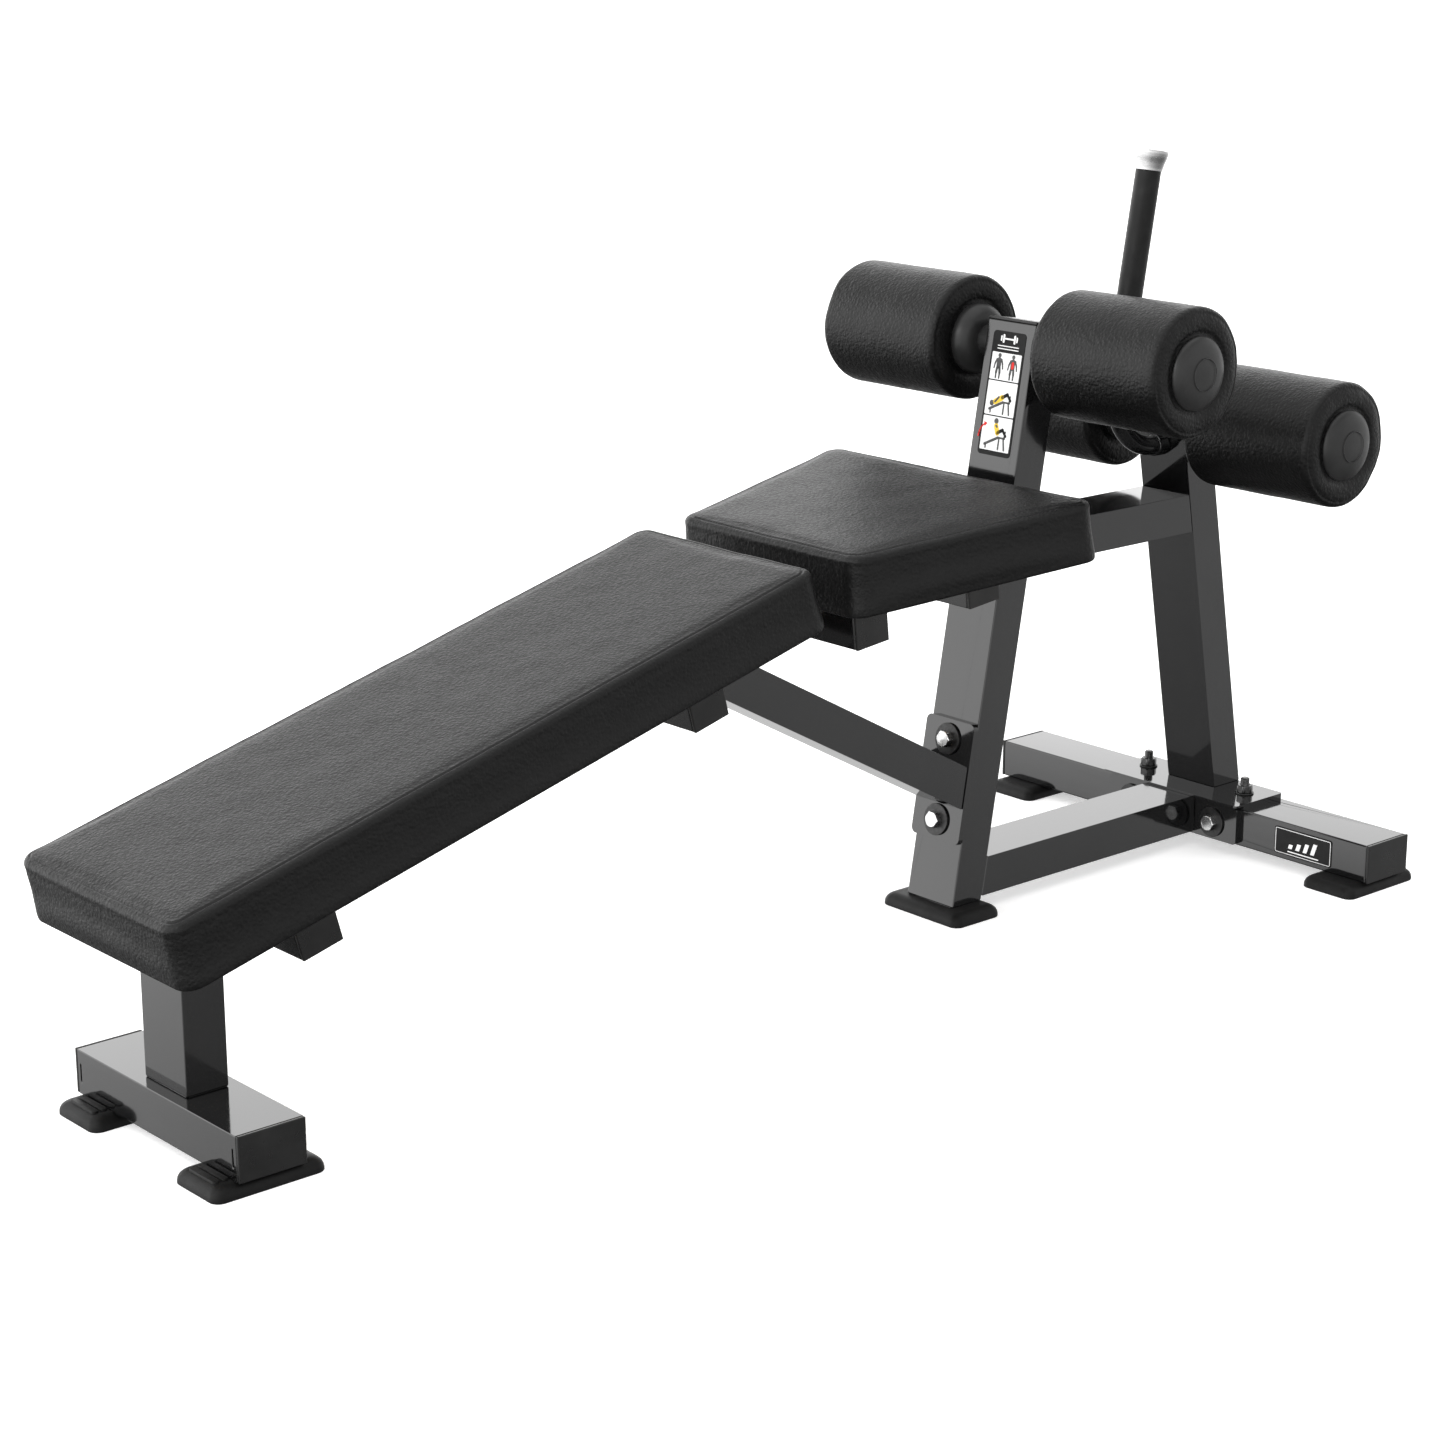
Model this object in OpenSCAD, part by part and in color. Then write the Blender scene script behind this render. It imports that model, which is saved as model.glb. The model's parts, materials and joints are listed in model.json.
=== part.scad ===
// Abdominal decline bench: welded box-tube frame, two pads, four foam leg
// rollers on two through axles and one central assist handle.
// Millimetres, +Z up, +X towards the rollers, Y = 0 is the centre plane.
// Every sub-part is its own module; station x = 0 is the front face of the
// rear base tube and x_shift moves the whole bench onto its own centre.

/* [Frame tube] */
// wide side of every frame tube
tube_w = 80; // [76:1:82]
// narrow side of every frame tube
tube_t = 50; // [40:1:60]
// wall of the frame tubes
wall = 3; // [2:0.5:5]
// thickness of the bolting plates
plate_t = 8; // [5:1:12]

/* [Floor parts] */
// height of a rubber foot
foot_h = 16; // [10:1:30]
// long side of a rubber foot
foot_l = 134; // [122:1:160]
// short side of a rubber foot
foot_w = 80; // [64:1:110]
// length of the front base tube across the bench
front_base_l = 315; // [280:1:500]
// distance from the rear base to the front base, face to middle
front_base_x = 1534; // [1450:1:1580]
// length of the rear base tube across the bench
rear_base_l = 640; // [560:1:760]

/* [Legs] */
// floor station of the front leg middle line, before the rear base
front_leg_x = 439; // [420:1:460]
// backward lean of the front leg in degrees
front_lean = 9.75; // [8:0.25:11]
// length of the front leg along its own axis, from the floor
front_leg_l = 739; // [730:1:760]
// floor station of the rear leg middle line, behind the rear base face
rear_leg_x = 69.5; // [66:0.5:74]
// forward lean of the rear leg in degrees
rear_lean = 10.4; // [9:0.1:11.5]
// length of the rear leg along its own axis, from the floor
rear_leg_l = 622; // [615:1:640]

/* [Back pad] */
// slope of the back pad in degrees
back_slope = 15.1; // [12:0.1:18]
// station of the low top edge of the back pad, before the rear base
back_x = 1630.5; // [1600:0.5:1660]
// height of the low top edge of the back pad
back_z = 290.5; // [270:0.5:310]
// length of the back pad
back_l = 865; // [850:1:875]
// width of the back pad
back_w = 295; // [265:1:340]
// full thickness of both pads
pad_t = 69; // [62:1:76]

/* [Seat pad] */
// slope of the seat pad in degrees
seat_slope = 6.2; // [4:0.1:8]
// station of the front top edge of the seat, before the rear base
seat_x = 739; // [725:1:745]
// height of the front top edge of the seat
seat_z = 518.5; // [505:0.5:535]
// length of the seat
seat_l = 320; // [300:1:330]
// width of the seat at the back pad
seat_w0 = 294; // [265:1:340]
// width of the seat at the legs
seat_w1 = 449; // [400:1:500]

/* [Rollers] */
// outside diameter of a foam roller
roller_d = 155; // [120:1:165]
// length of a foam roller
roller_l = 196; // [160:1:210]
// distance from the centre plane to the inner face of a roller
roller_y = 79.5; // [74:0.5:90]
// diameter of the through axles
axle_d = 30; // [25:1:34]
// running clearance between axle and roller core, on the radius
run_clear = 0.05; // [0.02:0.01:0.09]
// height of the upper axle
upper_axle_z = 697.5; // [690:0.5:703]
// height of the lower axle
lower_axle_z = 578; // [574:0.5:584]

/* [Handle] */
// diameter of the handle tube
handle_d = 25; // [22:0.5:28]
// diameter of the rubber grip
grip_d = 32; // [30:0.5:36]
// length of the rubber grip
grip_l = 180; // [120:1:200]
// backward lean of the handle in degrees
handle_lean = 9.9; // [8:0.1:12]
// middle-line radius of the lower bend
bend_r = 74; // [68:1:80]
// station of the bend centre, before the rear base
bend_x = 74.5; // [70:0.5:80]
// height of the horizontal stub of the handle
stub_z = 544; // [540:0.5:548]
// straight length of the handle above the bend
handle_l = 267; // [230:1:290]

/* [Hidden] */
$fn = 64;

paint = [0.13, 0.13, 0.14];
plastic = [0.05, 0.05, 0.05];
rubber = [0.07, 0.07, 0.07];
vinyl = [0.1, 0.1, 0.1];
steel = [0.75, 0.75, 0.76];
wood = [0.72, 0.58, 0.4];

foot_shift = 4;                // rear feet stand this far in from the tube middle
x_max = tube_w / 2 - foot_shift + foot_l / 2;
x_shift = (back_x - x_max) / 2;
base_top = foot_h + tube_t;
e = 0.5;                       // overshoot of cutting tools
plug_t = 4;                    // visible flange of a tube plug
rail_n = -pad_t;               // top of the rails, normal to the pad
cross_half = 120;              // half length of a cross tube
stub_l = cross_half - tube_w / 2;
back_cross = [165, back_l - 165];
seat_cross = [46, 228];
rail_s0 = 42;                  // start and end of the back rail
rail_s1 = 838;
arm_s0 = 16;
board_t = 12;
board_in = 14;                 // board edge inside the cushion edge
screw_y = 95;
foot_y0 = front_base_l / 2 - foot_w / 2 - 1;
foot_y1 = rear_base_l / 2 - foot_w / 2 - 2;
brace_slope = 28.6;
brace_pt = [-786.7, 383];      // a point on the top face of the brace
flange_z = 168;                // middle of the brace flange on the leg
flange_l = 152;
flange_bolt = 51;
base_bolt_y = 70;
plate_bolt_y = 84;
plate_y = 116;
plate_lip = 16;
bottom_z = 21;
tie_z = 431;
m12 = 6;                       // bolt radius
washer_r = 20;
washer_t = 3;
hex_r = 11;                    // M12 hexagon, corner radius
core_r = 20;
hub_r = 44;
roller_y1 = roller_y + roller_l;
core_bore = axle_d / 2 + run_clear;
axle_end = roller_y1 - 13.5;
cap_h = 13;
upper_axle_x = -front_leg_x + tan(front_lean) * upper_axle_z;
lower_axle_x = rear_leg_x - tan(rear_lean) * lower_axle_z;
bend_z = stub_z + bend_r;

// ---------- placing ----------
module ctr() translate([x_shift, 0, 0]) children();
module on_back() translate([-back_x, 0, back_z]) rotate([0, -back_slope, 0]) children();
module on_seat() translate([-seat_x, 0, seat_z]) rotate([0, -seat_slope, 0]) children();
module on_front_leg() translate([-front_leg_x, 0, 0]) rotate([0, front_lean, 0]) children();
module on_rear_leg() translate([rear_leg_x, 0, 0]) rotate([0, -rear_lean, 0]) children();
module both_y() for (s = [-1, 1]) scale([1, s, 1]) children();

// ---------- shared shapes ----------
module box(x0, x1, y0, y1, z0, z1)
  translate([x0, y0, z0]) cube([x1 - x0, y1 - y0, z1 - z0]);

// box tube along x, open at both ends
module tube_x(x0, x1, w, z0, z1) difference() {
  box(x0, x1, -w / 2, w / 2, z0, z1);
  box(x0 - 1, x1 + 1, -w / 2 + wall, w / 2 - wall, z0 + wall, z1 - wall);
}

// box tube along z
module tube_z(tx, ty, z0, z1) difference() {
  box(-tx / 2, tx / 2, -ty / 2, ty / 2, z0, z1);
  box(-tx / 2 + wall, tx / 2 - wall, -ty / 2 + wall, ty / 2 - wall, z0 - 1, z1 + 1);
}

// rounded block, exact corners
module slab(lx, ly, r, z0, z1) {
  box(-lx / 2, lx / 2, -ly / 2 + r, ly / 2 - r, z0, z1);
  box(-lx / 2 + r, lx / 2 - r, -ly / 2, ly / 2, z0, z1);
  for (i = [-1, 1], j = [-1, 1])
    translate([i * (lx / 2 - r), j * (ly / 2 - r), z0]) cylinder(r = r, h = z1 - z0);
}

// pad outline with straight sides: width w0 at x = 0, w1 at x = l
module pad_block(l, w0, w1, r, inset, z0, z1) {
  k = atan((w1 - w0) / 2 / l);
  ra = r;
  // corner centres, placed so the round meets both straight sides
  x0 = inset + ra;
  x1 = l - inset - ra;
  y0 = w0 / 2 + tan(k) * x0 - (inset + ra) / cos(k);
  y1 = w0 / 2 + tan(k) * x1 - (inset + ra) / cos(k);
  pts = [[x0 - ra, -y0], [x0 - ra, y0],
    [x0 - ra * sin(k), y0 + ra * cos(k)], [x1 - ra * sin(k), y1 + ra * cos(k)],
    [x1 + ra, y1], [x1 + ra, -y1],
    [x1 - ra * sin(k), -y1 - ra * cos(k)], [x0 - ra * sin(k), -y0 - ra * cos(k)]];
  translate([0, 0, z0]) linear_extrude(height = z1 - z0) polygon(pts);
  for (q = [[x0, y0], [x1, y1]], j = [-1, 1])
    translate([q[0], j * q[1], z0]) cylinder(r = ra, h = z1 - z0);
}

// plug that closes a box tube along z: flange and collar inside the wall
module plug(tx, ty) difference() {
  union() {
    box(-tx / 2, tx / 2, -ty / 2, ty / 2, 0, plug_t);
    box(-tx / 2 + wall, tx / 2 - wall, -ty / 2 + wall, ty / 2 - wall, -12, 0);
  }
  box(-tx / 2 + wall + 3, tx / 2 - wall - 3, -ty / 2 + wall + 3, ty / 2 - wall - 3, -13, -e);
}

module washer(r, bore, t) difference() {
  cylinder(r = r, h = t);
  translate([0, 0, -1]) cylinder(r = bore, h = t + 2);
}

// hexagon bolt: seat of the head at z = 0, shank down
module bolt(r, hr, hh, l) {
  cylinder(r = hr, h = hh, $fn = 6);
  translate([0, 0, -l]) cylinder(r = r, h = l + e);
}

module nut(r, hr, h) difference() {
  cylinder(r = hr, h = h, $fn = 6);
  translate([0, 0, -1]) cylinder(r = r, h = h + 2);
}

// rubber foot, long side along x
module foot() {
  slab(foot_l, foot_w, 10, 0, foot_h - 5);
  slab(foot_l - 8, foot_w - 8, 7, foot_h - 5 - e, foot_h);
}

// two raised pads on the open end of a foot
module foot_ribs() for (d = [44, 54])
  translate([-d, 0, foot_h - 5]) slab(8, foot_w - 32, 3.5, 0, 7.2);

module front_envelope() on_front_leg() box(-tube_t / 2, tube_t / 2, -100, 100, -50, 900);
module rear_envelope() on_rear_leg() box(-tube_t / 2, tube_t / 2, -100, 100, -50, 900);

// ---------- front stand ----------
module front_base_tube() ctr() color(paint) difference() {
  translate([-front_base_x, 0, foot_h + tube_t / 2]) rotate([90, 0, 0])
    tube_z(tube_w, tube_t, -front_base_l / 2 + plug_t, front_base_l / 2 - plug_t);
  both_y() box(-front_base_x - tube_w / 2 - 1, -front_base_x - tube_w / 2 + wall + 1,
    front_base_l / 2 - 12, front_base_l / 2 - 9.5, foot_h + 14, foot_h + 34);
}

module front_base_plugs() ctr() color(plastic) both_y()
  translate([-front_base_x, front_base_l / 2 - plug_t, foot_h + tube_t / 2])
    rotate([-90, 0, 0]) plug(tube_w, tube_t);

module front_feet() ctr() color(rubber) both_y()
  translate([-front_base_x - 1, foot_y0, 0]) {
  foot();
  foot_ribs();
}

module front_post() ctr() color(paint) difference() {
  translate([-front_base_x, 0, 0]) tube_z(tube_t, tube_w, base_top, base_top + 200);
  on_back() box(-200, 400, -100, 100, rail_n - tube_t, 300);
}

// ---------- back pad support ----------
module back_rail() ctr() color(paint) on_back()
  tube_x(rail_s0 + plug_t, rail_s1 - plug_t, tube_w, rail_n - tube_t, rail_n);

module back_rail_plugs() ctr() color(plastic) on_back() {
  translate([rail_s1 - plug_t, 0, rail_n - tube_t / 2]) rotate([0, 90, 0]) plug(tube_t, tube_w);
  translate([rail_s0 + plug_t, 0, rail_n - tube_t / 2]) rotate([0, -90, 0]) plug(tube_t, tube_w);
}

module cross_pair(s) both_y() difference() {
  translate([s, tube_w / 2, rail_n - tube_t / 2]) rotate([-90, 0, 0])
    tube_z(tube_t, tube_t, 0, stub_l - plug_t);
  translate([s, screw_y, rail_n - tube_t - 1]) cylinder(r = 4.2, h = tube_t + 2);
}

module back_cross_tubes() ctr() color(paint) on_back() for (s = back_cross) cross_pair(s);
module seat_cross_tubes() ctr() color(paint) on_seat() for (s = seat_cross) cross_pair(s);

module cross_plug_pair(s) both_y()
  translate([s, cross_half - plug_t, rail_n - tube_t / 2]) rotate([-90, 0, 0])
    plug(tube_t, tube_t);

module cross_tube_plugs() ctr() color(plastic) {
  on_back() for (s = back_cross) cross_plug_pair(s);
  on_seat() for (s = seat_cross) cross_plug_pair(s);
}

module brace_tube() ctr() color(paint) difference() {
  translate([brace_pt[0], 0, brace_pt[1]]) rotate([0, brace_slope, 0])
    tube_x(-200, 500, tube_w, -tube_t, 0);
  on_back() box(400, 1200, -100, 100, rail_n - tube_t, 300);
  on_front_leg() box(-tube_t / 2 - plate_t, 300, -100, 100, -100, 900);
}

module brace_flange() ctr() color(paint) on_front_leg() difference() {
  translate([-tube_t / 2 - plate_t, 0, flange_z]) rotate([0, 90, 0])
    slab(flange_l, tube_w + 2, 8, 0, plate_t);
  for (s = [-1, 1]) translate([-60, 0, flange_z + s * flange_bolt]) rotate([0, 90, 0])
    cylinder(r = m12 + 0.2, h = 60);
}

// ---------- bolts through the front leg ----------
module at_leg_bolts() on_front_leg() for (s = [-1, 1])
  translate([0, 0, flange_z + s * flange_bolt]) children();

module leg_bolts() ctr() color(steel) at_leg_bolts()
  translate([-tube_t / 2 - plate_t - washer_t, 0, 0]) rotate([0, -90, 0])
    bolt(m12, hex_r, 8, tube_t + plate_t + 2 * washer_t + 16);

module leg_washers() ctr() color(plastic) at_leg_bolts() {
  translate([-tube_t / 2 - plate_t, 0, 0]) rotate([0, -90, 0]) washer(washer_r, m12 + 0.2, washer_t);
  translate([tube_t / 2, 0, 0]) rotate([0, 90, 0]) washer(washer_r, m12 + 0.2, washer_t);
}

module leg_nuts() ctr() color(steel) at_leg_bolts()
  translate([tube_t / 2 + washer_t, 0, 0]) rotate([0, 90, 0]) nut(m12 + 0.1, hex_r, 10);

// ---------- main frame ----------
module front_leg() ctr() color(paint) difference() {
  on_front_leg() tube_z(tube_t, tube_w, -20, front_leg_l - plug_t);
  box(-front_leg_x - 100, -front_leg_x + 100, -60, 60, -60, foot_h);
  at_leg_bolts() rotate([0, 90, 0]) cylinder(r = m12 + 0.2, h = 80, center = true);
  translate([upper_axle_x, 0, upper_axle_z]) rotate([90, 0, 0])
    cylinder(d = axle_d + 0.1, h = 120, center = true);
}

module front_leg_plug() ctr() color(plastic) on_front_leg()
  translate([0, 0, front_leg_l - plug_t]) plug(tube_t, tube_w);

module leg_foot() ctr() color(rubber) translate([-front_leg_x - 2.5, 0, 0])
  rotate([0, 0, 90]) foot();

module instruction_plate() ctr() color([0.9, 0.9, 0.88]) on_front_leg()
  translate([-tube_t / 2 - 0.6, 0, 647]) rotate([0, 90, 0]) slab(151, 54, 5, 0, 0.6);

module bottom_tube() ctr() color(paint) difference() {
  tube_x(-front_leg_x, -plate_t, tube_w, bottom_z, bottom_z + tube_t);
  front_envelope();
}

module base_flange() ctr() color(paint) difference() {
  translate([-plate_t, 0, foot_h + 27]) rotate([0, 90, 0]) slab(50, 222, 5, 0, plate_t);
  at_base_bolts() cylinder(r = m12 + 0.2, h = 60, center = true);
}

module at_base_bolts() both_y() translate([-plate_t, base_bolt_y, foot_h + tube_t / 2])
  rotate([0, -90, 0]) children();

module base_bolts() ctr() color(steel) at_base_bolts() translate([0, 0, washer_t])
  bolt(m12, hex_r, 8, tube_w + plate_t + 2 * washer_t + 16);

module base_washers() ctr() color(plastic) at_base_bolts() {
  washer(washer_r, m12 + 0.2, washer_t);
  translate([0, 0, -tube_w - plate_t - washer_t]) washer(washer_r, m12 + 0.2, washer_t);
}

module base_nuts() ctr() color(steel) at_base_bolts()
  translate([0, 0, -tube_w - plate_t - washer_t - 10]) nut(m12 + 0.1, hex_r, 10);

module rear_base_tube() ctr() color(paint) difference() {
  translate([tube_w / 2, 0, foot_h + tube_t / 2]) rotate([90, 0, 0])
    tube_z(tube_w, tube_t, -rear_base_l / 2 + plug_t, rear_base_l / 2 - plug_t);
  at_base_bolts() cylinder(r = m12 + 0.2, h = 260, center = true);
  at_plate_bolts() cylinder(r = m12 + 0.2, h = 160, center = true);
}

module rear_base_plugs() ctr() color(plastic) both_y()
  translate([tube_w / 2, rear_base_l / 2 - plug_t, foot_h + tube_t / 2])
    rotate([-90, 0, 0]) plug(tube_w, tube_t);

module rear_feet() ctr() color(rubber) both_y()
  translate([tube_w / 2 - foot_shift, foot_y1, 0]) foot();

module base_badge() ctr() color([0.08, 0.08, 0.08])
  translate([-0.8, -216, foot_h + tube_t / 2]) rotate([0, 90, 0]) slab(36, 92, 3, 0, 0.8);

module leg_plate() ctr() color(paint) difference() {
  translate([tube_w / 2 - plate_lip / 2, 0, 0])
    slab(tube_w + plate_lip, 2 * plate_y, 5, base_top, base_top + plate_t);
  at_plate_bolts() cylinder(r = m12 + 0.2, h = 160, center = true);
  box(-plate_lip - 1, 0, -plate_y - 1, plate_y + 1, base_top - 1, base_top + 5.2);
}

module at_plate_bolts() both_y()
  translate([tube_w / 2, plate_bolt_y, base_top + plate_t]) children();

module plate_bolts() ctr() color(steel) at_plate_bolts()
  translate([0, 0, -tube_t - plate_t - 2]) rotate([180, 0, 0])
    bolt(m12, hex_r, 8, tube_t + plate_t + 24);

module plate_washers() ctr() color(plastic) at_plate_bolts() {
  washer(12, m12 + 0.2, 2);
  translate([0, 0, -tube_t - plate_t - 2]) washer(14, m12 + 0.2, 2);
}

module plate_nuts() ctr() color(steel) at_plate_bolts()
  translate([0, 0, 2]) nut(m12 + 0.1, hex_r, 10);

module rear_leg() ctr() color(paint) difference() {
  on_rear_leg() tube_z(tube_t, tube_w, 0, rear_leg_l - plug_t);
  box(-50, 200, -60, 60, -60, base_top + plate_t);
  translate([lower_axle_x, 0, lower_axle_z]) rotate([90, 0, 0])
    cylinder(d = axle_d + 0.1, h = 120, center = true);
}

module rear_leg_plug() ctr() color(plastic) on_rear_leg()
  translate([0, 0, rear_leg_l - plug_t]) plug(tube_t, tube_w);

module seat_tie_tube() ctr() color(paint) difference() {
  tube_x(-front_leg_x + 70, rear_leg_x - 85, tube_w, tie_z, tie_z + tube_t);
  front_envelope();
  rear_envelope();
}

module seat_arm() ctr() color(paint) difference() {
  on_seat() tube_x(arm_s0 + plug_t, seat_l + 45, tube_w, rail_n - tube_t, rail_n);
  front_envelope();
}

module seat_arm_plug() ctr() color(plastic) on_seat()
  translate([arm_s0 + plug_t, 0, rail_n - tube_t / 2]) rotate([0, -90, 0]) plug(tube_t, tube_w);

// ---------- pads ----------
module screw_holes(sts, z0, z1) for (s = sts, j = [-1, 1])
  translate([s, j * screw_y, z0]) cylinder(r = 4.2, h = z1 - z0);

module back_board() ctr() color(wood) on_back() difference() {
  pad_block(back_l, back_w, back_w, 18, board_in, -pad_t, -pad_t + board_t);
  screw_holes(back_cross, -pad_t - 1, -pad_t + board_t + 1);
}

module back_cushion() ctr() color(vinyl) on_back() difference() {
  pad_block(back_l, back_w, back_w, 28, 0, -pad_t, 0);
  pad_block(back_l, back_w, back_w, 18, board_in, -pad_t - 1, -pad_t + board_t);
}

module seat_board() ctr() color(wood) on_seat() difference() {
  pad_block(seat_l, seat_w0, seat_w1, 18, board_in, -pad_t, -pad_t + board_t);
  screw_holes(seat_cross, -pad_t - 1, -pad_t + board_t + 1);
}

module seat_cushion() ctr() color(vinyl) on_seat() difference() {
  pad_block(seat_l, seat_w0, seat_w1, 28, 0, -pad_t, 0);
  pad_block(seat_l, seat_w0, seat_w1, 18, board_in, -pad_t - 1, -pad_t + board_t);
}

module screws_at(sts) for (s = sts, j = [-1, 1])
  translate([s, j * screw_y, rail_n - tube_t]) rotate([180, 0, 0])
    bolt(4, 7.5, 5.3, tube_t + board_t - 1);

module pad_screws() ctr() color(steel) {
  on_back() screws_at(back_cross);
  on_seat() screws_at(seat_cross);
}

// ---------- axles and rollers ----------
module at_upper() translate([upper_axle_x, 0, upper_axle_z]) children();
module at_lower() translate([lower_axle_x, 0, lower_axle_z]) children();
// local z runs outwards: side 1 is +y, side -1 is -y
module side(s) rotate([-90 * s, 0, 0]) children();

module axle() rotate([90, 0, 0]) difference() {
  cylinder(d = axle_d, h = 2 * axle_end, center = true);
  for (s = [-1, 1]) translate([0, 0, s * (axle_end - 14)])
    cylinder(r = 5.1, h = 30, center = true);
}

module upper_axle() ctr() color(steel) at_upper() axle();
module lower_axle() ctr() color(steel) at_lower() axle();

module at_ends() {
  for (s = [-1, 1]) {
    at_upper() side(s) translate([0, 0, axle_end]) children();
    at_lower() side(s) translate([0, 0, axle_end]) children();
  }
}

module axle_washers() ctr() color(steel) at_ends() washer(17.5, 5.2, 2.5);
module axle_bolts() ctr() color(steel) at_ends() translate([0, 0, 2.5]) bolt(5, 9.2, 6.4, 25);

// foam sleeve with rounded rims
module foam() {
  r = roller_d / 2;
  q = 9;
  rotate_extrude() {
    translate([core_r + 0.1, roller_y]) square([r - q - core_r - 0.1, roller_l]);
    translate([r - q - e, roller_y + q]) square([q + e, roller_l - 2 * q]);
    for (z = [roller_y + q, roller_y1 - q]) translate([r - q, z]) intersection() {
      circle(r = q, $fn = 48);
      translate([-q / 2, -q]) square([2 * q, 2 * q]);
    }
  }
}

// plastic core: neck, inner dome, bore tube and outer cap
module core() rotate_extrude() polygon(concat(
  [[core_bore, 43], [19, 43], [20, 44], [20, 58]],
  [for (a = [0:10:90]) [20 + (hub_r - 20) * sin(a), 58 + (roller_y - 1.2 - 58) * (1 - cos(a))]],
  [[hub_r, roller_y - 0.2], [core_r, roller_y - 0.2], [core_r, roller_y1 + 0.2],
   [hub_r, roller_y1 + 0.2]],
  [for (a = [0:7.5:82.5]) [hub_r * cos(a), roller_y1 + 1 + (cap_h - 0.8) * sin(a)]],
  [[0, roller_y1 + 0.2 + cap_h], [0, roller_y1 + 0.2], [18, roller_y1 + 0.2],
   [18, axle_end - 0.4], [core_bore, axle_end - 0.4]]));

module upper_left_roller() ctr() color(vinyl) at_upper() side(1) foam();
module upper_left_core() ctr() color(plastic) at_upper() side(1) core();
module upper_right_roller() ctr() color(vinyl) at_upper() side(-1) foam();
module upper_right_core() ctr() color(plastic) at_upper() side(-1) core();
module lower_left_roller() ctr() color(vinyl) at_lower() side(1) foam();
module lower_left_core() ctr() color(plastic) at_lower() side(1) core();
module lower_right_roller() ctr() color(vinyl) at_lower() side(-1) foam();
module lower_right_core() ctr() color(plastic) at_lower() side(-1) core();

// ---------- assist handle ----------
module on_handle() translate([-bend_x - bend_r * cos(handle_lean), 0,
  bend_z + bend_r * sin(handle_lean)]) rotate([0, handle_lean, 0]) children();

module ring(r, h, bore) difference() {
  cylinder(r = r, h = h);
  translate([0, 0, -1]) cylinder(r = bore, h = h + 2);
}

// straight grip tube
module handle_tube() ctr() color(paint) on_handle()
  ring(handle_d / 2, handle_l, handle_d / 2 - 2.5);

// bent tube below it
module handle_elbow() ctr() color(paint) translate([-bend_x, 0, bend_z])
  rotate([90, 0, 0]) rotate([0, 0, 180 - handle_lean])
    rotate_extrude(angle = 90 + handle_lean) translate([bend_r, 0]) difference() {
      circle(d = handle_d);
      circle(d = handle_d - 5);
    }

// short socket that holds the elbow against the rear leg
module handle_socket() ctr() color(paint) difference() {
  translate([-bend_x, 0, stub_z]) rotate([0, 90, 0])
    ring(handle_d / 2 + 2, 60, handle_d / 2 - 2.5);
  rear_envelope();
}

module handle_grip() ctr() color(rubber) on_handle()
  translate([0, 0, handle_l - grip_l]) difference() {
    rotate_extrude() polygon([[0, 0], [grip_d / 2 - 1.5, 0], [grip_d / 2, 1.5],
      [grip_d / 2, grip_l], [0, grip_l]]);
    translate([0, 0, -1]) cylinder(r = handle_d / 2 + 0.05, h = grip_l + 2);
  }

module handle_end() ctr() color(steel) on_handle() translate([0, 0, handle_l])
  rotate_extrude() polygon([[0, -20], [handle_d / 2 - 2.7, -20], [handle_d / 2 - 2.7, 0],
    [17, 0], [17.4, 3], [19, 10], [21, 17], [22, 22], [21.6, 24.5], [20.5, 25.2],
    [17.5, 25.2], [16.5, 23.5], [0, 23.5]]);

front_base_tube();
front_base_plugs();
front_feet();
front_post();
back_rail();
back_rail_plugs();
back_cross_tubes();
seat_cross_tubes();
cross_tube_plugs();
brace_tube();
brace_flange();
leg_bolts();
leg_washers();
leg_nuts();
front_leg();
front_leg_plug();
leg_foot();
instruction_plate();
bottom_tube();
base_flange();
base_bolts();
base_washers();
base_nuts();
rear_base_tube();
rear_base_plugs();
rear_feet();
base_badge();
leg_plate();
plate_bolts();
plate_washers();
plate_nuts();
rear_leg();
rear_leg_plug();
seat_tie_tube();
seat_arm();
seat_arm_plug();
back_board();
back_cushion();
seat_board();
seat_cushion();
pad_screws();
upper_axle();
lower_axle();
axle_washers();
axle_bolts();
handle_tube();
handle_elbow();
handle_socket();
handle_grip();
handle_end();
upper_left_roller();
upper_left_core();
upper_right_roller();
upper_right_core();
lower_left_roller();
lower_left_core();
lower_right_roller();
lower_right_core();
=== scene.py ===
import json
import math

import bmesh
import bpy
import numpy as np
from mathutils import Matrix, Vector, noise


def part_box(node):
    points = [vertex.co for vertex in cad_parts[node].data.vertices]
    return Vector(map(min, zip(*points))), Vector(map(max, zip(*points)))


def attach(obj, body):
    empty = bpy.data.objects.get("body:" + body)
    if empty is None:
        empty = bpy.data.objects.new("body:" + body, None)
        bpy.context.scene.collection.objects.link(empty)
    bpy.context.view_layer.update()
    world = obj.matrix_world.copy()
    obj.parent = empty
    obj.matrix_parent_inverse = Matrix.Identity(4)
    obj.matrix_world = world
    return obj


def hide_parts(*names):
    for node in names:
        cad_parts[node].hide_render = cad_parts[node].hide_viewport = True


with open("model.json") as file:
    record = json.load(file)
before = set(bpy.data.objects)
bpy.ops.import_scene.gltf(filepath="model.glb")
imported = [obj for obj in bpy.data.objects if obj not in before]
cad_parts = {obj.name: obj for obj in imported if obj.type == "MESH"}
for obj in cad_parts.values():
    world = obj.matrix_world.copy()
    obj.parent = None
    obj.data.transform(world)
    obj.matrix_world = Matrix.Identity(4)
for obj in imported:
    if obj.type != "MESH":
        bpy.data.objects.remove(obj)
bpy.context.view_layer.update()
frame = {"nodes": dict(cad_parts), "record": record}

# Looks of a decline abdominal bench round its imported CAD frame. Metres, +X
# towards the rollers, +Z up, Y = 0 is the centre plane.

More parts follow.
